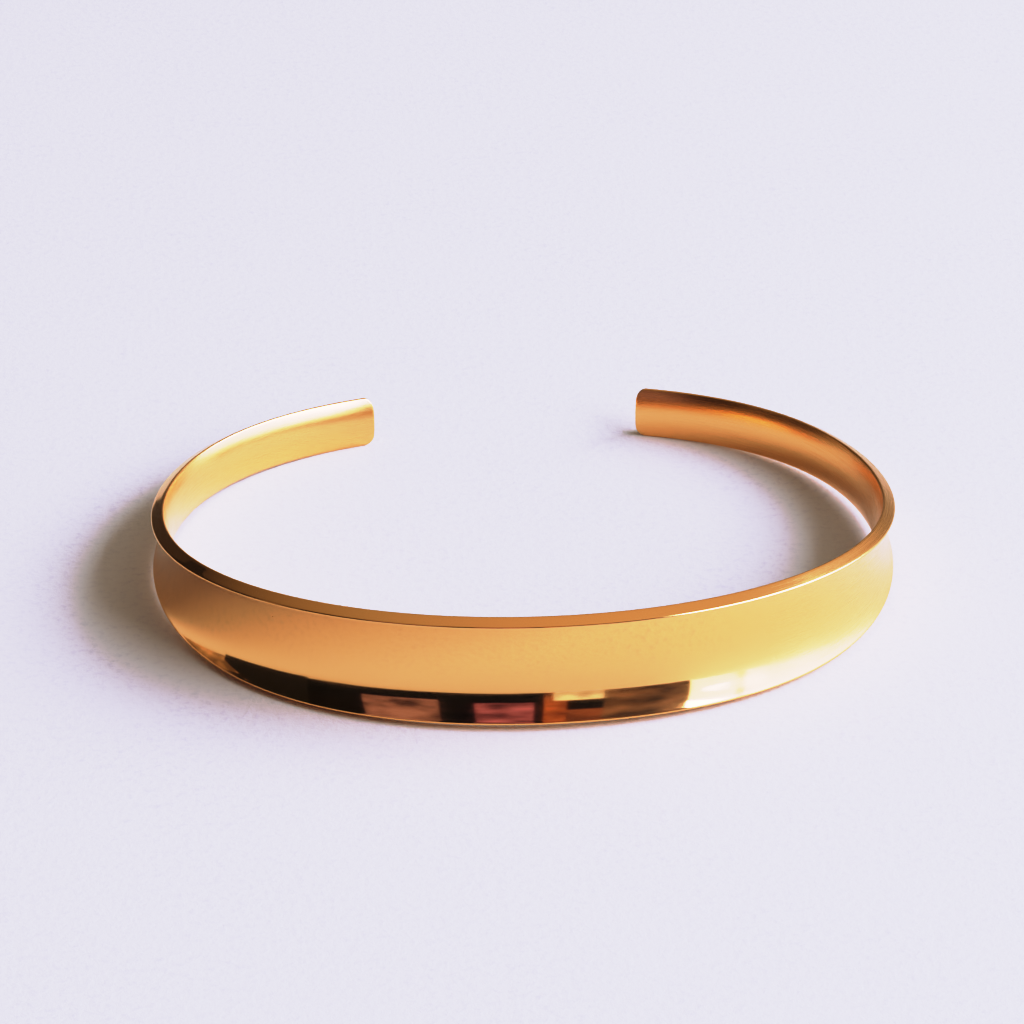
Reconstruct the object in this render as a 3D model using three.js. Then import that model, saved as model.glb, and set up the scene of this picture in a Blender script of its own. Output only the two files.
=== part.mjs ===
// Open cuff bracelet: one strip of polished metal, bent into an oval round the wrist and
// hollowed across its width, wide at the front and narrow along the two arms behind.
//
// Frame: millimetres, +Z up, the wide front towards -Y, the gap between the tips towards +Y.
// The cuff lies on its side as it would by itself. Its lower edge touches the plane z = 0 on
// both sides of the front and at both tips, and x = 0 is its plane of symmetry.

import * as THREE from 'three';

// Sizes of the oval, measured on the waist line: the middle of the outer face's hollow
const WIDTH = 62; // left to right
const FRONT_DEPTH = 26.8; // from the widest line forwards
const BACK_DEPTH = 25.4; // from the widest line backwards, to where the oval would close
const GAP = 24; // between the two tips
const SQUARENESS = 0.014; // 0 makes an ellipse, more makes the oval fuller at its shoulders

// Sizes of the strip
const THICKNESS = 1.2;
const FRONT_HEIGHT = 8.7; // across the outer face at the middle of the front
const ARM_HEIGHT = 3.6; // across the outer face along the arms
const TAPER_REACH = 42; // along the band from the middle of the front to the steep part of the taper
const TAPER_SHARPNESS = 3.9; // higher makes the taper start later and end sooner
const HOLLOW_RADIUS = 9.3; // of the hollow across the outer face, at the middle of the front
const EDGE_ROUND = 0.15; // of every long edge and of the edges round the tips
const TIP_ROUND = 0.9; // of the tips' corners, seen from the side

// Fineness of the mesh
const BAND_STEPS = 118; // along the band, between the rounded tips
const TIP_STEPS = 5; // along each rounded tip
const FACE_STEPS = 8; // across the outer face, and across the inner one
const ROUND_STEPS = 3; // round each long edge

const SECTION_POINTS = 2 * (FACE_STEPS + 1) + 4 * ROUND_STEPS;
const SOLVER_STEPS = 60;
const ARC_SAMPLES = 4000;

// One point of the oval. The angle is 0 at the front and half a turn at the back.
function ovalPoint(angle) {
  const across = (WIDTH / 2) / (1 - SQUARENESS);
  const meanDepth = (FRONT_DEPTH + BACK_DEPTH) / 2 / (1 - SQUARENESS);
  const lean = (FRONT_DEPTH - BACK_DEPTH) / 2;
  const x = across * (Math.sin(angle) + SQUARENESS * Math.sin(3 * angle));
  const y = -meanDepth * (Math.cos(angle) - SQUARENESS * Math.cos(3 * angle)) - lean * Math.cos(angle) ** 2;
  return new THREE.Vector3(x, y, 0);
}

// The direction in which the oval runs, by its formula's derivative
function ovalDirection(angle) {
  const across = (WIDTH / 2) / (1 - SQUARENESS);
  const meanDepth = (FRONT_DEPTH + BACK_DEPTH) / 2 / (1 - SQUARENESS);
  const lean = (FRONT_DEPTH - BACK_DEPTH) / 2;
  const x = across * (Math.cos(angle) + 3 * SQUARENESS * Math.cos(3 * angle));
  const y = meanDepth * (Math.sin(angle) - 3 * SQUARENESS * Math.sin(3 * angle)) + lean * Math.sin(2 * angle);
  return new THREE.Vector3(x, y, 0).normalize();
}

// The angle at which the back of the oval has come in to half the gap
function findTipAngle() {
  let wide = Math.PI / 2;
  let closed = Math.PI;
  for (let step = 0; step < SOLVER_STEPS; step++) {
    const middle = (wide + closed) / 2;
    if (ovalPoint(middle).x > GAP / 2) {
      wide = middle;
    } else {
      closed = middle;
    }
  }
  return (wide + closed) / 2;
}

// The waist line from the left tip, round the front, to the right tip
class WaistLine extends THREE.Curve {
  constructor(tipAngle) {
    super();
    this.tipAngle = tipAngle;
    this.arcLengthDivisions = ARC_SAMPLES;
  }

  getPoint(t) {
    return ovalPoint((2 * t - 1) * this.tipAngle);
  }

  getTangent(t) {
    return ovalDirection((2 * t - 1) * this.tipAngle);
  }
}

const waist = new WaistLine(findTipAngle());
const halfLength = waist.getLength() / 2;

// Height of the outer face at a distance along the band from the middle of the front
function bandHeight(distance) {
  const extra = FRONT_HEIGHT - ARM_HEIGHT;
  return ARM_HEIGHT + extra * Math.exp(-((Math.abs(distance) / TAPER_REACH) ** TAPER_SHARPNESS));
}

// Radius of the hollow there. It shrinks with the height, so the edges flare by the same angle
// everywhere, and the low arms are as full across their inner face as the tall front.
function hollowRadius(distance) {
  return HOLLOW_RADIUS * bandHeight(distance) / FRONT_HEIGHT;
}

// How far a rounding of this radius stands back from the full size, near the end that it rounds
function standBack(radius, fromEnd) {
  if (fromEnd >= radius) {
    return 0;
  }
  return radius - Math.sqrt(radius ** 2 - (radius - fromEnd) ** 2);
}

// The strip's cross-section, as points (outwards, up) about the waist line. It is a slice of a
// ring whose centre lies outside the cuff, so the outer face is hollow and the inner one is full.
function sectionPoints(radius, halfHeight, inset) {
  const outerRadius = radius + inset;
  const innerRadius = radius + THICKNESS - inset;
  const halfAngle = Math.asin((halfHeight - inset) / radius);
  const outerCentre = outerRadius + EDGE_ROUND;
  const innerCentre = innerRadius - EDGE_ROUND;
  const outerAngle = halfAngle - Math.asin(EDGE_ROUND / outerCentre);
  const innerAngle = halfAngle - Math.asin(EDGE_ROUND / innerCentre);
  const points = [];
  const add = (centreRadius, angle, round, turn) => {
    const outwards = radius - centreRadius * Math.cos(angle) + round * Math.cos(angle + turn);
    const up = centreRadius * Math.sin(angle) - round * Math.sin(angle + turn);
    points.push(new THREE.Vector2(outwards, up));
  };
  for (let step = 0; step <= FACE_STEPS; step++) {
    add(outerRadius, outerAngle * (2 * step / FACE_STEPS - 1), 0, 0);
  }
  for (let step = 1; step <= ROUND_STEPS; step++) {
    add(outerCentre, outerAngle, EDGE_ROUND, -step / ROUND_STEPS * Math.PI / 2);
  }
  for (let step = 0; step < ROUND_STEPS; step++) {
    add(innerCentre, innerAngle, EDGE_ROUND, -(1 + step / ROUND_STEPS) * Math.PI / 2);
  }
  for (let step = 0; step <= FACE_STEPS; step++) {
    add(innerRadius, innerAngle * (1 - 2 * step / FACE_STEPS), 0, 0);
  }
  for (let step = 1; step <= ROUND_STEPS; step++) {
    add(innerCentre, -innerAngle, EDGE_ROUND, (2 - step / ROUND_STEPS) * Math.PI / 2);
  }
  for (let step = 0; step < ROUND_STEPS; step++) {
    add(outerCentre, -outerAngle, EDGE_ROUND, (1 - step / ROUND_STEPS) * Math.PI / 2);
  }
  return points;
}

// Distances from the middle of the front at which the band gets a section, closer at the tips
function sectionDistances() {
  const straight = halfLength - TIP_ROUND;
  const distances = [];
  for (let step = TIP_STEPS; step >= 1; step--) {
    distances.push(-straight - TIP_ROUND * Math.sin(step / TIP_STEPS * Math.PI / 2));
  }
  for (let step = 0; step <= BAND_STEPS; step++) {
    distances.push(straight * (2 * step / BAND_STEPS - 1));
  }
  for (let step = 1; step <= TIP_STEPS; step++) {
    distances.push(straight + TIP_ROUND * Math.sin(step / TIP_STEPS * Math.PI / 2));
  }
  return distances;
}

// The cross-section at one distance along the band, in its place
function placedSection(distance) {
  const share = (distance / halfLength + 1) / 2;
  const origin = waist.getPointAt(share);
  const direction = waist.getTangentAt(share);
  const outward = new THREE.Vector3(direction.y, -direction.x, 0);
  const fromEnd = halfLength - Math.abs(distance);
  const halfHeight = bandHeight(distance) / 2 - standBack(TIP_ROUND, fromEnd);
  const inset = standBack(EDGE_ROUND, fromEnd);
  return sectionPoints(hollowRadius(distance), halfHeight, inset).map((point) => {
    const placed = origin.clone().addScaledVector(outward, point.x);
    placed.z = point.y;
    return placed;
  });
}

// The turn about X that brings the tips down beside the front's lower edge: the steepest line
// from the tips' lowest point to any point of the edge in front of them leaves none below it
function restingTurn(sections) {
  const lowest = (section) => section.reduce((low, point) => (point.z < low.z ? point : low));
  const tip = lowest(sections[TIP_STEPS]);
  let slope = 0;
  for (const section of sections) {
    const low = lowest(section);
    if (low.y < 0) {
      slope = Math.max(slope, (tip.z - low.z) / (tip.y - low.y));
    }
  }
  return -Math.atan(slope);
}

// Joins the sections into one closed skin, with a flat face at each tip
function skinGeometry(sections) {
  const positions = sections.flat().flatMap((point) => point.toArray());
  const indices = [];
  for (let along = 0; along + 1 < sections.length; along++) {
    for (let round = 0; round < SECTION_POINTS; round++) {
      const next = (round + 1) % SECTION_POINTS;
      const here = along * SECTION_POINTS;
      const ahead = here + SECTION_POINTS;
      indices.push(here + round, ahead + round, ahead + next);
      indices.push(here + round, ahead + next, here + next);
    }
  }
  const outline = sectionPoints(hollowRadius(halfLength), ARM_HEIGHT / 2 - TIP_ROUND, EDGE_ROUND);
  const lastSection = (sections.length - 1) * SECTION_POINTS;
  for (const [a, b, c] of THREE.ShapeUtils.triangulateShape(outline, [])) {
    indices.push(a, b, c);
    indices.push(lastSection + a, lastSection + c, lastSection + b);
  }
  const geometry = new THREE.BufferGeometry();
  geometry.setAttribute('position', new THREE.Float32BufferAttribute(positions, 3));
  geometry.setIndex(indices);
  return geometry;
}

// The cuff, turned to its resting place and set down with the middle of its base at the origin
function makeCuff() {
  const sections = sectionDistances().map(placedSection);
  const geometry = skinGeometry(sections);
  geometry.rotateX(restingTurn(sections));
  geometry.computeBoundingBox();
  const box = geometry.boundingBox;
  geometry.translate(0, -(box.min.y + box.max.y) / 2, -box.min.z);
  geometry.computeVertexNormals();
  const gold = new THREE.MeshStandardMaterial({ color: 0xe0a84a, metalness: 1, roughness: 0.12 });
  const cuff = new THREE.Mesh(geometry, gold);
  cuff.name = 'cuff';
  return cuff;
}

const bracelet = new THREE.Group();
bracelet.add(makeCuff());

export default bracelet;
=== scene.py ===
# %% [markdown]
# # An open cuff bracelet of polished, gold-coloured metal
# The bracelet is one strip of metal. It is cut to shape, hammered hollow across its width over a
# grooved stake, bent round an oval mandrel, and polished until it mirrors the room. This lesson
# builds the strip from its own few sizes with Geometry Nodes, gives it a polished metal with the
# small marks of wear, and lights it on a pale table so that its shape can be read from what it
# reflects.

import math

import bpy
from mathutils import Matrix, Vector


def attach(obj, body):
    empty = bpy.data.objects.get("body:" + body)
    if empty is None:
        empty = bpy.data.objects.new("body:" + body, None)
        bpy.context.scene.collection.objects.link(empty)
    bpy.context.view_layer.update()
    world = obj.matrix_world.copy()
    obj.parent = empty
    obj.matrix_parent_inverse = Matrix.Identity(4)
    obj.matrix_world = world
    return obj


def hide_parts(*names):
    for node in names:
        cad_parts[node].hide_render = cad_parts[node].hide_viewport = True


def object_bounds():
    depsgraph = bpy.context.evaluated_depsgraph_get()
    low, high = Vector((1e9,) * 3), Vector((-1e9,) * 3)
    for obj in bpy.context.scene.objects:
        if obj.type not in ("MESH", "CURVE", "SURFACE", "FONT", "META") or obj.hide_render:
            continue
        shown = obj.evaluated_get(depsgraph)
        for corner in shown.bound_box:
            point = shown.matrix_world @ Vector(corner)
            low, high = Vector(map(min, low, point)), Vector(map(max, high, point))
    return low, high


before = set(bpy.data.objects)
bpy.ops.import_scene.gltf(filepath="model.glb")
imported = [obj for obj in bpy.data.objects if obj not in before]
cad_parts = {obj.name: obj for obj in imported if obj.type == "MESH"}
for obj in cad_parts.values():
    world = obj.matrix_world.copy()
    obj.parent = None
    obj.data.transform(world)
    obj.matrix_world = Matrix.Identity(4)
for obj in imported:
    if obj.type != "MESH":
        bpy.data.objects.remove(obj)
CAD_LOW, CAD_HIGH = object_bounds()
MM = 0.001
print("solid model, mm:", [round(side / MM, 2) for side in CAD_HIGH - CAD_LOW])

# %% [markdown]
# ## The sizes a maker would write down
# Everything below follows from these. The oval is measured on the waist line, which runs along
# the bottom of the hollow in the outer face. The strip is tallest at the front, keeps nearly
# that height round the shoulders, and falls away quickly to the slim arms.

# %% Sizes of the oval and of the strip
WIDTH = 62.0 * MM
FRONT_DEPTH = 26.8 * MM
BACK_DEPTH = 25.4 * MM
GAP = 24.0 * MM
SQUARENESS = 0.014

THICKNESS = 1.2 * MM
FRONT_HEIGHT = 8.7 * MM
ARM_HEIGHT = 3.6 * MM
TAPER_REACH = 42.0 * MM
TAPER_SHARPNESS = 3.9
HOLLOW_RADIUS = 9.3 * MM
EDGE_ROUND = 0.15 * MM
TIP_ROUND = 0.9 * MM

# %% [markdown]
# The oval is an ellipse with two small changes: a pinch of a third harmonic makes its shoulders
# fuller, and a lean makes the front half deeper than the back half. Both keep the curve smooth
# everywhere, and a mirror finish would show any kink. The strip ends where the oval has come in
# to half the gap, and halving the range again and again finds that angle.

# %% Find the angle of the tips
def oval_x(angle):
    across = WIDTH / 2 / (1 - SQUARENESS)
    return across * (math.sin(angle) + SQUARENESS * math.sin(3 * angle))


def find_tip_angle(halvings=60):
    wide = math.pi / 2
    closed = math.pi
    for _ in range(halvings):
        middle = (wide + closed) / 2
        if oval_x(middle) > GAP / 2:
            wide = middle
        else:
            closed = middle
    return (wide + closed) / 2


TIP_ANGLE = find_tip_angle()
print("the tips lie", round(math.degrees(TIP_ANGLE), 1), "degrees round from the front")

# %% [markdown]
# ## Writing node trees as sums
# A formula drawn as Math nodes is hard to read. This small class stands for a number on its way
# through a tree, and each sign between two of them adds the Math node that does the sum.

# %% A number that travels through a node tree
def feed(tree, value, socket):
    if isinstance(value, Reading):
        tree.links.new(value.socket, socket)
    elif isinstance(value, bpy.types.NodeSocket):
        tree.links.new(value, socket)
    else:
        socket.default_value = value


def calculate(tree, operation, *values):
    node = tree.nodes.new("ShaderNodeMath")
    node.operation = operation
    for value, socket in zip(values, node.inputs):
        feed(tree, value, socket)
    return Reading(tree, node.outputs[0])


class Reading:
    def __init__(self, tree, socket):
        self.tree = tree
        self.socket = socket

    def __add__(self, other):
        return calculate(self.tree, "ADD", self, other)

    def __sub__(self, other):
        return calculate(self.tree, "SUBTRACT", self, other)

    def __rsub__(self, other):
        return calculate(self.tree, "SUBTRACT", other, self)

    def __mul__(self, other):
        return calculate(self.tree, "MULTIPLY", self, other)

    def __truediv__(self, other):
        return calculate(self.tree, "DIVIDE", self, other)

    def __neg__(self):
        return calculate(self.tree, "MULTIPLY", self, -1.0)

    def __pow__(self, other):
        return calculate(self.tree, "POWER", self, other)

    def __abs__(self):
        return calculate(self.tree, "ABSOLUTE", self)


def function(operation):
    return lambda value, *others: calculate(value.tree, operation, value, *others)


sine = function("SINE")
cosine = function("COSINE")
arcsine = function("ARCSINE")
root = function("SQRT")
whole = function("ROUND")
floor_of = function("FLOOR")
least = function("MINIMUM")
most = function("MAXIMUM")
sign_of = function("SIGN")
exponential = function("EXPONENT")


def share_of(value):
    return least(most(value, 0.0), 1.0)


# %% [markdown]
# ## The tree and its named sizes
# The strip could be a curve with a bevel, but a bevel keeps one section all the way, and this
# section changes: it is tall and deeply hollowed at the front, and slim at the arms. So the tree
# lays out a plain grid of points, one row of it for each section along the strip, and then moves
# every point to its place by the strip's own formula.

# %% Start the tree
tree = bpy.data.node_groups.new("Hollowed cuff strip", "GeometryNodeTree")
tree.interface.new_socket("Strip", in_out="OUTPUT", socket_type="NodeSocketGeometry")
SIZES = {
    "Width": WIDTH,
    "Front depth": FRONT_DEPTH,
    "Back depth": BACK_DEPTH,
    "Squareness": SQUARENESS,
    "Tip angle": TIP_ANGLE,
    "Thickness": THICKNESS,
    "Front height": FRONT_HEIGHT,
    "Arm height": ARM_HEIGHT,
    "Taper reach": TAPER_REACH,
    "Taper sharpness": TAPER_SHARPNESS,
    "Hollow radius": HOLLOW_RADIUS,
    "Edge round": EDGE_ROUND,
    "Tip round": TIP_ROUND,
}
for name in SIZES:
    tree.interface.new_socket(name, in_out="INPUT", socket_type="NodeSocketFloat")
tree.interface.new_socket("Metal", in_out="INPUT", socket_type="NodeSocketMaterial")
given = tree.nodes.new("NodeGroupInput")
size = {name: Reading(tree, given.outputs[name]) for name in SIZES}
print(len(SIZES), "named sizes in the tree")


def add_node(kind, inputs, **settings):
    node = tree.nodes.new(kind)
    for name, value in settings.items():
        setattr(node, name, value)
    for name, value in inputs.items():
        feed(tree, value, node.inputs[name])
    return node


def vector(x, y, z):
    return add_node("ShaderNodeCombineXYZ", {"X": x, "Y": y, "Z": z}).outputs[0]


def parts_of(socket):
    outputs = add_node("ShaderNodeSeparateXYZ", {"Vector": socket}).outputs
    return [Reading(tree, output) for output in outputs]


# %% [markdown]
# ### The waist line
# A line of points is bent into the oval and turned into a curve, because a curve knows its own
# length. The strip's height depends on how far along the metal a section lies, as it would on
# the flat blank, and not on the angle.

# %% Bend the waist line
WAIST_POINTS = 4001

line = add_node("GeometryNodeMeshLine", {"Count": WAIST_POINTS, "Offset": (0.0, 0.0, 0.0)})
index = Reading(tree, tree.nodes.new("GeometryNodeInputIndex").outputs[0])
angle = (index * (2.0 / (WAIST_POINTS - 1)) - 1.0) * size["Tip angle"]
across = size["Width"] / 2.0 / (1.0 - size["Squareness"])
mean_depth = (size["Front depth"] + size["Back depth"]) / 2.0 / (1.0 - size["Squareness"])
lean = (size["Front depth"] - size["Back depth"]) / 2.0
waist_x = across * (sine(angle) + size["Squareness"] * sine(angle * 3.0))
waist_y = -(mean_depth * (cosine(angle) - size["Squareness"] * cosine(angle * 3.0)))
waist_y = waist_y - lean * cosine(angle) * cosine(angle)
bent = add_node("GeometryNodeSetPosition",
                {"Geometry": line.outputs[0], "Position": vector(waist_x, waist_y, 0.0)})
waist = add_node("GeometryNodeMeshToCurve", {"Mesh": bent.outputs[0]}).outputs[0]
length = Reading(tree, add_node("GeometryNodeCurveLength", {"Curve": waist}).outputs[0])
half_length = length / 2.0

# %% [markdown]
# ### The grid
# Each row of the grid is one section of the strip, and each place in a row is one point round
# that section. The rows lie close together in the rounded tips. One row more at each end is for
# the flat end face.

# %% Lay out the grid and number its points
SECTIONS = 561
TIP_SECTIONS = 22
ROUND_STEPS = 6
FACE_STEPS = 34
RIM_STEPS = 4
SECTION_POINTS = 2 * (2 * ROUND_STEPS + FACE_STEPS + RIM_STEPS)

grid = add_node("GeometryNodeMeshGrid", {"Size X": 1.0, "Size Y": 1.0,
                                         "Vertices X": SECTIONS + 2,
                                         "Vertices Y": SECTION_POINTS + 1})
flat_x, flat_y, _ = parts_of(tree.nodes.new("GeometryNodeInputPosition").outputs[0])
row = whole((flat_x + 0.5) * (SECTIONS + 1.0))
section = least(most(row, 1.0), float(SECTIONS))
end_face = abs(row - section)
point = calculate(tree, "FLOORED_MODULO", whole((flat_y + 0.5) * float(SECTION_POINTS)),
                  float(SECTION_POINTS))
print("the grid has", SECTIONS + 2, "by", SECTION_POINTS + 1, "points")

# %% [markdown]
# ### How far along the metal each section lies
# The number is a distance from the middle of the front. In the tips the steps follow a quarter
# turn, so they shrink towards the end just as the rounding needs.

# %% Spread the sections along the strip
TIP_SHARE = TIP_SECTIONS / ((SECTIONS - 1) / 2)

along = (section - 1.0) * (2.0 / (SECTIONS - 1)) - 1.0
in_band = share_of(abs(along) / (1.0 - TIP_SHARE))
in_tip = share_of((abs(along) - (1.0 - TIP_SHARE)) / TIP_SHARE)
tip_turn = sine(in_tip * (math.pi / 2))
band_length = half_length - size["Tip round"]
distance = in_band * band_length + tip_turn * size["Tip round"]
from_end = (1.0 - in_band) * band_length + (1.0 - tip_turn) * size["Tip round"]

# %% [markdown]
# ### How tall the strip is there
# A bell-shaped curve gives the height: nearly level across the front, steep at the taper's
# reach, and level again along the arms. The hollow's radius shrinks with the height, so the
# edges flare by the same angle everywhere. Near its end a rounding stands back from the full
# size by the sagitta of a circle. The same helper rounds the tip's corners, seen from the side,
# and the edges of the end face.

# %% Height, hollow and rounding at each section
def stand_back(radius):
    short_of = most(radius - from_end, 0.0)
    return radius - root(radius * radius - short_of * short_of)


fall = exponential(-((distance / size["Taper reach"]) ** size["Taper sharpness"]))
height = size["Arm height"] + (size["Front height"] - size["Arm height"]) * fall
inset = stand_back(size["Edge round"])
half_height = height / 2.0 - stand_back(size["Tip round"]) - inset
hollow_radius = size["Hollow radius"] * height / size["Front height"]
half_angle = arcsine(half_height / hollow_radius)

# %% [markdown]
# ### Round the section
# The section is a slice of a thick ring whose centre lies outside the cuff. Walking round it
# passes a rounded edge, the hollow outer face, a rounded edge, the flat rim, and then the same
# again on the inside. Halfway round, everything repeats the other way about. The steps across
# the faces bunch up near the edges, where the curvature changes.

# %% Walk round the section
BUNCHING = 0.6
HALF_WALK = SECTION_POINTS / 2

second_half = floor_of(point / HALF_WALK)
walked = point - second_half * HALF_WALK
first_edge = share_of(walked / float(ROUND_STEPS))
even_face = share_of((walked - float(ROUND_STEPS)) / float(FACE_STEPS))
second_edge = share_of((walked - float(ROUND_STEPS + FACE_STEPS)) / float(ROUND_STEPS))
rim = share_of((walked - float(2 * ROUND_STEPS + FACE_STEPS)) / float(RIM_STEPS))
bunched_face = 0.5 - cosine(even_face * math.pi) / 2.0
face = even_face + (bunched_face - even_face) * BUNCHING
way = 1.0 - second_half * 2.0
height_share = way * (face * 2.0 - 1.0)
depth_share = second_half + way * rim
depth_share = depth_share + end_face * (0.5 - depth_share)
edge_turn = second_half * math.pi + (first_edge + second_edge) * (math.pi / 2)

# %% [markdown]
# ### From the ring to the strip
# A point of the section is a place on a core plus one edge radius in the direction of the walk.
# That is how a rounded box is made, and it keeps the edges truly round at every height. On the
# end face the core shrinks to the middle of the metal, and the grid closes on itself.

# %% Place every point
edge = size["Edge round"]
core_radius = hollow_radius + inset + edge
core_radius = core_radius + depth_share * (size["Thickness"] - (inset + edge) * 2.0)
core_angle = height_share * (half_angle - arcsine(edge / core_radius))
rounding = edge * (1.0 - end_face)
outwards = hollow_radius - core_radius * cosine(core_angle)
outwards = outwards + rounding * sine(edge_turn - core_angle)
up = core_radius * sine(core_angle) - rounding * cosine(edge_turn - core_angle)

signed_distance = distance * sign_of(along)
place = add_node("GeometryNodeSampleCurve",
                 {"Curves": waist, "Factor": signed_distance / length + 0.5}, mode="FACTOR")
place_x, place_y, _ = parts_of(place.outputs["Position"])
run_x, run_y, _ = parts_of(place.outputs["Tangent"])
spot = vector(place_x + outwards * run_y, place_y - outwards * run_x, up)

# %% [markdown]
# ### Close the skin
# The distance along the metal and the distance round the section are kept as a UV map, so that
# the marks left by polishing can follow the strip. The first and last points of every row are
# the same point, and merging by distance welds them, and the end faces, into one closed skin.

# %% Finish the tree
WELD = 0.0001 * MM
WALK_LENGTH = 22.0 * MM

marked = add_node("GeometryNodeStoreNamedAttribute", {
    "Geometry": grid.outputs[0],
    "Name": "UVMap",
    "Value": vector(signed_distance, (flat_y + 0.5) * WALK_LENGTH, 0.0),
}, data_type="FLOAT2", domain="CORNER")
placed = add_node("GeometryNodeSetPosition",
                  {"Geometry": marked.outputs[0], "Position": spot})
welded = add_node("GeometryNodeMergeByDistance",
                  {"Geometry": placed.outputs[0], "Distance": WELD})
smooth = add_node("GeometryNodeSetShadeSmooth", {"Geometry": welded.outputs[0]})
real = add_node("GeometryNodeRealizeInstances", {"Geometry": smooth.outputs[0]})
clad = add_node("GeometryNodeSetMaterial",
                {"Geometry": real.outputs[0], "Material": given.outputs["Metal"]})
result = tree.nodes.new("NodeGroupOutput")
tree.links.new(clad.outputs[0], result.inputs[0])
print(len(tree.nodes), "nodes in the tree")

# %% [markdown]
# ## The metal
# Gold plating over a polished base reflects like a mirror of its own colour. Real polish is
# never perfect. Buffing leaves hairlines that run along the strip, too thin to be seen singly,
# and together they spread a faint haze round every bright reflection. A clear lacquer over the
# plating adds a colourless sheen. Wear adds a few dull specks, and hand work leaves the surface
# very slightly wavy. The inside is brushed and never buffed, so it mirrors less sharply, and
# handling has left a haze on the right shoulder, where the fingers hold the cuff to put it on.
# The first map coordinate runs along the strip from the middle of the front, and the second goes
# round the section: its first half is the outside and its second half the inside.

# %% Polished gold
GOLD = (0.99, 0.557, 0.25)
BUFFED_ROUGHNESS = (0.05, 0.15)
BRUSHED_ROUGHNESS = 0.2
HAZE_ROUGHNESS = 0.21
HAZE_BEGINS = 13.5 * MM
HAZE_IS_FULL = 23.0 * MM
SPECK_ROUGHNESS = 0.55
SPECK_CELLS_PER_METRE = 520.0
SPECK_REACH = 0.032
CELLS_WITHOUT_SPECK = 0.72
WAVES_PER_METRE = 170.0
WAVE_HEIGHT = 0.01 * MM


def shader_node(material, kind, inputs=None, **settings):
    node = material.node_tree.nodes.new(kind)
    for name, value in settings.items():
        setattr(node, name, value)
    for name, value in (inputs or {}).items():
        if isinstance(value, bpy.types.NodeSocket):
            material.node_tree.links.new(value, node.inputs[name])
        else:
            node.inputs[name].default_value = value
    return node


def shader_math(material, operation, *values):
    node = shader_node(material, "ShaderNodeMath", operation=operation)
    for value, socket in zip(values, node.inputs):
        if isinstance(value, bpy.types.NodeSocket):
            material.node_tree.links.new(value, socket)
        else:
            socket.default_value = value
    return node.outputs[0]


def stretch(material, coordinates, scale):
    mapping = shader_node(material, "ShaderNodeMapping", {"Vector": coordinates, "Scale": scale})
    return mapping.outputs[0]


def spread(material, value, low, high, to_low, to_high):
    node = shader_node(material, "ShaderNodeMapRange", {
        "Value": value, "From Min": low, "From Max": high, "To Min": to_low, "To Max": to_high})
    return node.outputs[0]


def polished_gold():
    material = bpy.data.materials.new("polished_gold")
    material.use_nodes = True
    shader = material.node_tree.nodes["Principled BSDF"]
    link = material.node_tree.links.new
    shader.inputs["Base Color"].default_value = (*GOLD, 1.0)
    shader.inputs["Metallic"].default_value = 1.0
    shader.inputs["Coat Weight"].default_value = 0.5
    shader.inputs["Coat Roughness"].default_value = 0.4

    places = shader_node(material, "ShaderNodeTexCoord").outputs
    along_strip = stretch(material, places["UV"], (80.0, 60000.0, 1.0))
    lines = shader_node(material, "ShaderNodeTexNoise",
                        {"Vector": along_strip, "Scale": 1.0, "Detail": 1.0}).outputs[0]
    buffed = spread(material, lines, 0.50, 0.70, *BUFFED_ROUGHNESS)
    strip_place = shader_node(material, "ShaderNodeSeparateXYZ", {"Vector": places["UV"]}).outputs
    inside = spread(material, strip_place["Y"], 0.49 * WALK_LENGTH, 0.51 * WALK_LENGTH,
                    0.0, BRUSHED_ROUGHNESS)
    handled = spread(material, strip_place["X"], HAZE_BEGINS, HAZE_IS_FULL, 0.0, HAZE_ROUGHNESS)
    dull = shader_math(material, "MAXIMUM", inside, handled)
    polish = shader_math(material, "ADD", buffed, dull)

    cells = shader_node(material, "ShaderNodeTexVoronoi",
                        {"Vector": places["Object"], "Scale": SPECK_CELLS_PER_METRE})
    near = shader_math(material, "LESS_THAN", cells.outputs["Distance"], SPECK_REACH)
    chance = shader_node(material, "ShaderNodeSeparateColor", {"Color": cells.outputs["Color"]})
    rare = shader_math(material, "GREATER_THAN", chance.outputs[0], CELLS_WITHOUT_SPECK)
    rare_and_rough = shader_math(material, "MULTIPLY", rare, SPECK_ROUGHNESS)
    specks = shader_math(material, "MULTIPLY", near, rare_and_rough)
    link(shader_math(material, "MAXIMUM", polish, specks), shader.inputs["Roughness"])

    waves = shader_node(material, "ShaderNodeTexNoise",
                        {"Vector": places["Object"], "Scale": WAVES_PER_METRE, "Detail": 2.0})
    wavy = shader_node(material, "ShaderNodeBump",
                       {"Height": waves.outputs[0], "Strength": 1.0, "Distance": WAVE_HEIGHT})
    link(wavy.outputs[0], shader.inputs["Normal"])
    return material


gold = polished_gold()
print("the metal has", len(gold.node_tree.nodes), "shader nodes")

# %% [markdown]
# ## Make the strip
# The modifier's sizes are set by each socket's identifier. The evaluated result becomes a plain
# mesh.

# %% Run the tree
def run_strip_tree():
    holder = bpy.data.objects.new("strip_in_nodes", bpy.data.meshes.new("strip_in_nodes"))
    bpy.context.scene.collection.objects.link(holder)
    modifier = holder.modifiers.new("Strip", "NODES")
    modifier.node_group = tree
    for item in tree.interface.items_tree:
        if item.in_out == "INPUT":
            modifier[item.identifier] = gold if item.name == "Metal" else SIZES[item.name]
    evaluated = holder.evaluated_get(bpy.context.evaluated_depsgraph_get())
    mesh = bpy.data.meshes.new_from_object(evaluated)
    bpy.data.objects.remove(holder)
    return mesh


strip = run_strip_tree()
print("the strip has", len(strip.polygons), "faces")

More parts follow.
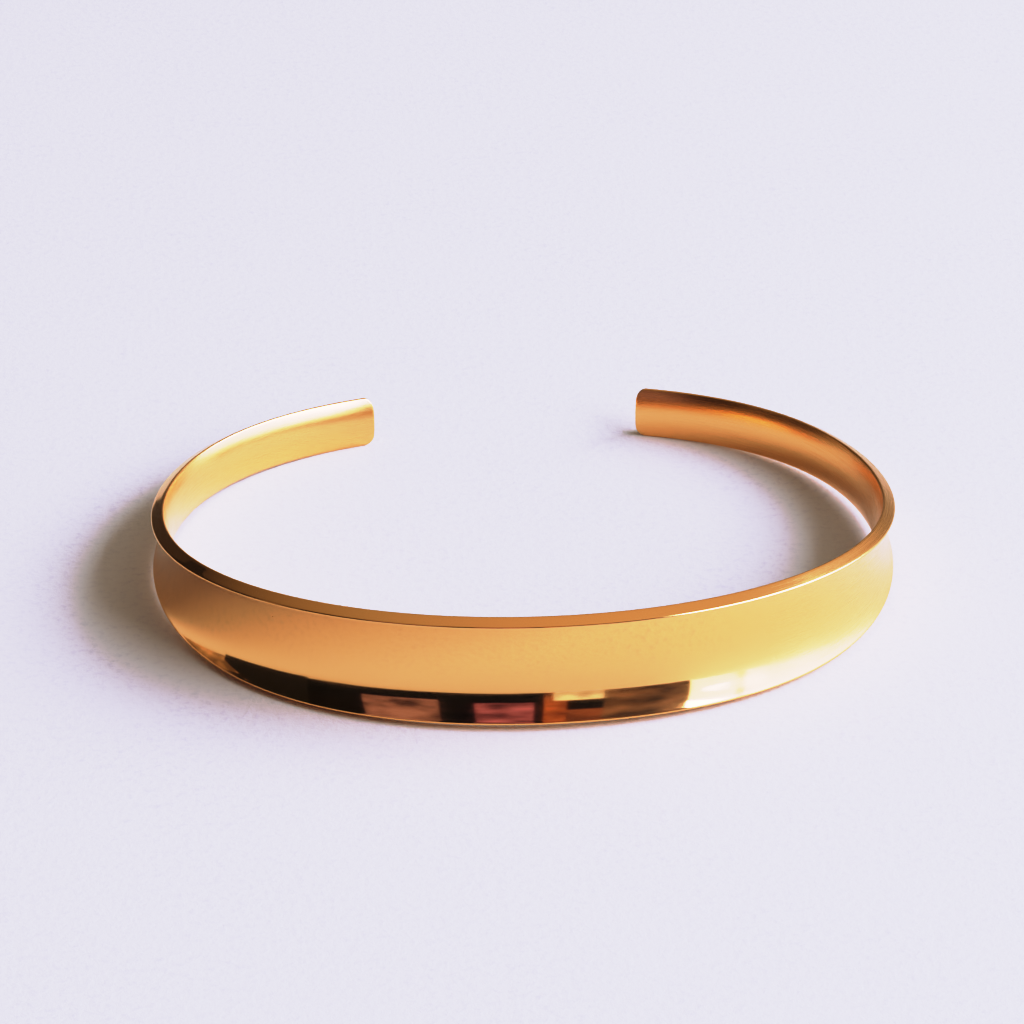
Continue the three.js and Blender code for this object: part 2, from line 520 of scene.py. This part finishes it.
# %% [markdown]
# ## Set it down
# A cuff laid on its side does not lie level: its tall front rides high, and it tips back until
# its slim tips touch the table too. The steepest line from the tips to the lower front edge gives
# that turn, since no point of the edge may come out below it. The solid model is made of small
# flat facets, so its box differs from the smooth strip's by a few parts in ten thousand, and a
# last scaling makes the two boxes the same.

# %% Let it come to rest
def resting_turn(mesh):
    tip_line = oval_x(TIP_ANGLE) + TIP_ROUND
    low = [v.co for v in mesh.vertices if v.co.z < 0]
    tip = min((co for co in low if co.y > 0 and abs(co.x) < tip_line), key=lambda co: co.z)
    slope = max((tip.z - co.z) / (tip.y - co.y) for co in low if co.y < 0)
    return -math.atan(slope)


def set_down(mesh):
    turn = resting_turn(mesh)
    mesh.transform(Matrix.Rotation(turn, 4, "X"))
    lows = [min(v.co[axis] for v in mesh.vertices) for axis in range(3)]
    highs = [max(v.co[axis] for v in mesh.vertices) for axis in range(3)]
    middle = (lows[1] + highs[1]) / 2
    move = Vector((0.0, -middle, -lows[2]))
    mesh.transform(Matrix.Translation(move))
    return turn, move


def fit_box(mesh, low, high):
    """Scale the mesh by a few parts in ten thousand, so that it fills this box exactly."""
    lows = [min(v.co[axis] for v in mesh.vertices) for axis in range(3)]
    highs = [max(v.co[axis] for v in mesh.vertices) for axis in range(3)]
    scales = [(high[axis] - low[axis]) / (highs[axis] - lows[axis]) for axis in range(3)]
    mesh.transform(Matrix.Diagonal((*scales, 1.0)))
    return scales


turn, OVAL_CENTRE = set_down(strip)
scales = fit_box(strip, CAD_LOW, CAD_HIGH)
print("scaled into the solid model's box by", [round(scale, 5) for scale in scales])
cuff = bpy.data.objects.new("polished_cuff", strip)
bpy.context.scene.collection.objects.link(cuff)
print("it tips back by", round(-math.degrees(turn), 2), "degrees")

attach(cuff, "root")
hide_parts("cuff")

# %% [markdown]
# ## The table
# A white board with a very slight lilac tint and hardly any sheen, and with a fine felted grain.
# It is large, because the polished front mirrors it out to the horizon.

# %% Pale table
TABLE_REACH = 2.2
TABLE_WHITE = (0.782, 0.782, 0.8)
TABLE_GREY = (0.60, 0.60, 0.68)
GRAINS_PER_METRE = 1300.0
GRAIN_HEIGHT = 0.08 * MM


def pale_board():
    material = bpy.data.materials.new("pale_board")
    material.use_nodes = True
    shader = material.node_tree.nodes["Principled BSDF"]
    link = material.node_tree.links.new
    where = shader_node(material, "ShaderNodeTexCoord").outputs["Object"]
    grain = shader_node(material, "ShaderNodeTexNoise",
                        {"Vector": where, "Scale": GRAINS_PER_METRE, "Detail": 4.0,
                         "Roughness": 0.7})
    mottle = shader_node(material, "ShaderNodeTexNoise",
                         {"Vector": where, "Scale": 90.0, "Detail": 2.0})
    grainy = spread(material, grain.outputs[0], 0.5, 0.85, 0.0, 1.0)
    mottled = spread(material, mottle.outputs[0], 0.35, 0.65, 0.4, 1.0)
    both = shader_math(material, "MULTIPLY", grainy, mottled)
    colour = shader_node(material, "ShaderNodeMix", data_type="RGBA")
    colour.inputs["A"].default_value = (*TABLE_WHITE, 1.0)
    colour.inputs["B"].default_value = (*TABLE_GREY, 1.0)
    link(both, colour.inputs["Factor"])
    link(colour.outputs["Result"], shader.inputs["Base Color"])
    shader.inputs["Roughness"].default_value = 0.6
    shader.inputs["Specular IOR Level"].default_value = 0.2
    felted = shader_node(material, "ShaderNodeBump",
                         {"Height": grain.outputs[0], "Strength": 0.8,
                          "Distance": GRAIN_HEIGHT})
    link(felted.outputs[0], shader.inputs["Normal"])
    return material


def pale_table():
    mesh = bpy.data.meshes.new("table")
    corners = [(-1, -1, 0), (1, -1, 0), (1, 1, 0), (-1, 1, 0)]
    mesh.from_pydata([[TABLE_REACH * c for c in corner] for corner in corners], [], [(0, 1, 2, 3)])
    mesh.materials.append(pale_board())
    table = bpy.data.objects.new("table", mesh)
    bpy.context.scene.collection.objects.link(table)


pale_table()
print("the table is", 2 * TABLE_REACH, "metres wide")

# %% [markdown]
# ## The light
# A wide window stands to the right and a little in front, and sends nearly all of the light.
# Its lower part shows in the front of the cuff, and its upper part is brighter. Bearings are
# counted from the front, positive to the right, and rises from the table, both as the cuff sees
# them. The window is an area light, upright, so that its edge draws a crisp upright line.

# %% Window
ROOM_DISTANCE = 1.2
WINDOW_BEARINGS = (36.5, 118.0)
WINDOW_COLOUR = (0.98, 0.99, 1.07)


def seen_at(bearing, rise, distance=ROOM_DISTANCE):
    side = math.radians(bearing)
    return Vector((distance * math.sin(side), -distance * math.cos(side),
                   distance * math.tan(math.radians(rise))))


def window_light(name, bearings, rises, radiance, colour):
    """An upright area light that fills these bearings and rises, in degrees."""
    half_turn = math.radians(bearings[1] - bearings[0]) / 2
    distance = ROOM_DISTANCE * math.cos(half_turn)
    low, high = (distance * math.tan(math.radians(rise)) for rise in rises)
    data = bpy.data.lights.new(name, "AREA")
    data.shape = "RECTANGLE"
    data.size = 2 * ROOM_DISTANCE * math.sin(half_turn)
    data.size_y = high - low
    data.energy = radiance * math.pi * data.size * data.size_y
    data.color = colour
    light = bpy.data.objects.new(name, data)
    bearing = sum(bearings) / 2
    light.location = seen_at(bearing, 0.0, distance) + Vector((0.0, 0.0, (low + high) / 2))
    light.rotation_euler = (math.radians(90), 0.0, math.radians(bearing))
    bpy.context.scene.collection.objects.link(light)
    print(name, "gives", round(data.energy, 1), "watts")


window_light("window", WINDOW_BEARINGS, (0.0, 24.0), 1.7, WINDOW_COLOUR)
window_light("window_top", WINDOW_BEARINGS, (24.0, 52.0), 7.1, WINDOW_COLOUR)

# %% [markdown]
# ## The room
# In front of the cuff the room is nearly black, with a few plain brown panels in it. A lit wall
# stands at the far left, and a curtain and two brighter panes stand in the window. Each card is
# upright and bent round the cuff, and glows a little unevenly. The table below gives the bearings
# of its two sides, the rises of its foot and of its top at either side, and its colour.

# %% Cards that the polish mirrors
NEARLY_BLACK = (0.006, 0.005, 0.005)
DARK_BROWN = (0.03, 0.02, 0.015)
CARDS = {
    "dark_front": ((-72, 36.5), (-1, 42, 42), NEARLY_BLACK),
    "lit_wall": ((-125, -66), (-1, 30, 30), (0.5, 0.39, 0.32)),
    "brown_panel": ((-40, -20), (7, 40, 40), (0.27, 0.20, 0.28)),
    "mauve_panel": ((-12, 1), (9, 40, 40), (0.34, 0.17, 0.34)),
    "wooden_post": ((3, 8), (-0.5, 40, 40), (0.36, 0.165, 0.105)),
    "pale_box": ((5, 16), (-0.5, 8, 8), (0.72, 0.72, 0.74)),
    "brown_chest": ((8, 16), (17, 40, 40), (0.21, 0.11, 0.085)),
    "brown_door": ((16, 36.5), (-0.5, 40, 40), (0.19, 0.145, 0.14)),
    "curtain": ((51, 60), (0, 24, 24), (1.7, 1.45, 1.38)),
    "bright_pane": ((40, 48), (8, 12, 14), (2.8, 2.8, 2.8)),
    "brighter_pane": ((70, 84), (0, 5, 8), (2.6, 2.6, 2.6)),
}
FIRST_CARD_DISTANCE = 1.15 * ROOM_DISTANCE
CARD_SPACING = 0.04 * ROOM_DISTANCE
CARD_STEP = 5.0
DIMMEST_GLOW = 0.35
BRIGHTEST_GLOW = 1.55


def glowing(name, colour):
    material = bpy.data.materials.new(name)
    material.use_nodes = True
    shader = material.node_tree.nodes["Principled BSDF"]
    shader.inputs["Base Color"].default_value = (0.0, 0.0, 0.0, 1.0)
    shader.inputs["Roughness"].default_value = 1.0
    shader.inputs["Emission Color"].default_value = (*colour, 1.0)
    where = shader_node(material, "ShaderNodeTexCoord").outputs["Object"]
    uneven = shader_node(material, "ShaderNodeTexNoise",
                         {"Vector": where, "Scale": 5.0, "Detail": 2.0}).outputs[0]
    glow = spread(material, uneven, 0.35, 0.65, DIMMEST_GLOW, BRIGHTEST_GLOW)
    material.node_tree.links.new(glow, shader.inputs["Emission Strength"])
    return material


def stand_card(name, bearings, rises, colour, distance, nearer=1.0):
    """A card bent round the cuff. Its top may slope, and its left end may stand nearer."""
    left, right = bearings
    low, left_top, right_top = rises
    steps = math.ceil((right - left) / CARD_STEP)
    corners = []
    for step in range(steps + 1):
        share = step / steps
        bearing = left + share * (right - left)
        away = distance * (nearer + share * (1.0 - nearer))
        corners.append(tuple(seen_at(bearing, low, away)))
        corners.append(tuple(seen_at(bearing, left_top + share * (right_top - left_top), away)))
    faces = [(2 * i, 2 * i + 2, 2 * i + 3, 2 * i + 1) for i in range(steps)]
    mesh = bpy.data.meshes.new(name)
    mesh.from_pydata(corners, [], faces)
    mesh.materials.append(glowing(name, colour))
    card = bpy.data.objects.new(name, mesh)
    bpy.context.scene.collection.objects.link(card)
    return card


for count, (name, (bearings, rises, colour)) in enumerate(CARDS.items()):
    stand_card(name, bearings, rises, colour, FIRST_CARD_DISTANCE - CARD_SPACING * count)
print(len(CARDS), "cards stand round the cuff")

# %% [markdown]
# ### Two dark cards close by
# Both stand near the cuff on its left. The first one slopes, and gives the dark strip in the
# front of the cuff its slanting end. The second one floats above the table and darkens the top of
# the right arm's inner face. They show in the polish only, so that they hide nothing from any
# side and cast no shadow.

# %% Dark cards at the left
EDGE_DISTANCE = 0.151
SHELF_DISTANCE = 0.09

dark_edge = stand_card("dark_edge", (-82, -55), (-1, 3, 30), NEARLY_BLACK, EDGE_DISTANCE,
                       nearer=0.55)
dark_shelf = stand_card("dark_shelf", (-130, -74), (8, 32, 32), DARK_BROWN, SHELF_DISTANCE)
for near_card in (dark_edge, dark_shelf):
    near_card.visible_camera = False
    near_card.visible_diffuse = False
    near_card.visible_shadow = False
    print(near_card.name, "shows in the polish only")

# %% [markdown]
# ### Walls and ceiling
# The room's own light depends on the direction alone. Its slope says how fast it grows to the
# right, towards the window, and upwards, and it never falls below a least value.

# %% Walls and ceiling
ROOM_LEVEL = -0.005
ROOM_SLOPE = (0.38, 0.0, 0.57)
ROOM_LEAST = 0.08
ROOM_COLOUR = (1.0, 0.86, 0.76, 1.0)


def dim_room():
    world = bpy.data.worlds.new("room")
    bpy.context.scene.world = world
    world.use_nodes = True
    nodes, link = world.node_tree.nodes, world.node_tree.links.new
    direction = nodes.new("ShaderNodeTexCoord").outputs["Generated"]
    slope = nodes.new("ShaderNodeVectorMath")
    slope.operation = "DOT_PRODUCT"
    slope.inputs[1].default_value = ROOM_SLOPE
    link(direction, slope.inputs[0])
    level = nodes.new("ShaderNodeMath")
    level.operation = "ADD"
    level.inputs[1].default_value = ROOM_LEVEL
    link(slope.outputs["Value"], level.inputs[0])
    dim = nodes.new("ShaderNodeMath")
    dim.operation = "MAXIMUM"
    dim.inputs[1].default_value = ROOM_LEAST
    link(level.outputs[0], dim.inputs[0])
    walls = nodes["Background"]
    walls.inputs["Color"].default_value = ROOM_COLOUR
    link(dim.outputs[0], walls.inputs["Strength"])
    print("the light of", world.name, "has", len(nodes), "nodes")


dim_room()

# %% [markdown]
# ## The camera
# A long lens looks down on the front of the cuff at about 29 degrees, from a little to the left.

# %% Camera
SENSOR = 36.0
LENS = 164.92
CAMERA_FROM_OVAL = Vector((-23.964, -350.704, 190.872)) * MM
CAMERA_TURN = [math.radians(angle) for angle in (61.6813, 0.2166, -3.8763)]


def set_up_camera():
    data = bpy.data.cameras.new("camera")
    data.sensor_width = SENSOR
    data.lens = LENS
    camera = bpy.data.objects.new("camera", data)
    camera.location = OVAL_CENTRE + CAMERA_FROM_OVAL
    camera.rotation_euler = CAMERA_TURN
    bpy.context.scene.collection.objects.link(camera)
    bpy.context.scene.camera = camera
    print("the lens is", LENS, "millimetres long")


set_up_camera()

# %% [markdown]
# ## The tone
# The picture is finished like a bright product photograph: the highlights roll off softly
# instead of clipping. The left number is the light that reaches the film, and the right one is
# what is shown. A short toe deepens the shadows, and a long shoulder keeps the brightest gold
# creamy. The blue layer of the film has a curve of its own, which lifts its middle tones.

# %% Roll off the highlights
TONE = {0.0: 0.0, 0.04: 0.013, 0.1: 0.048, 0.2: 0.132, 0.4: 0.35, 0.8: 0.78, 1.2: 0.855,
        1.8: 0.91, 3.0: 0.97, 4.0: 1.0}
BLUE_TONE = {0.0: 0.0, 0.06: 0.055, 0.12: 0.13, 0.2: 0.3, 0.28: 0.43, 0.4: 0.535, 0.55: 0.62,
             0.75: 0.765, 1.0: 1.0}
BLUE_LAYER = 2
ALL_LAYERS = 3


def bend_curve(curve, places):
    while len(curve.points) < len(places):
        curve.points.new(0.5, 0.5)
    for point, place in zip(curve.points, places):
        point.location = place
        point.handle_type = "AUTO_CLAMPED"


def set_tone():
    view = bpy.context.scene.view_settings
    view.view_transform = "Standard"
    view.use_curve_mapping = True
    curves = view.curve_mapping
    brightest = max(TONE)
    curves.white_level = (brightest, brightest, brightest)
    bend_curve(curves.curves[ALL_LAYERS],
               [(light / brightest, shown) for light, shown in TONE.items()])
    bend_curve(curves.curves[BLUE_LAYER], list(BLUE_TONE.items()))
    curves.update()
    print("light up to", brightest, "is shown without clipping")


set_tone()
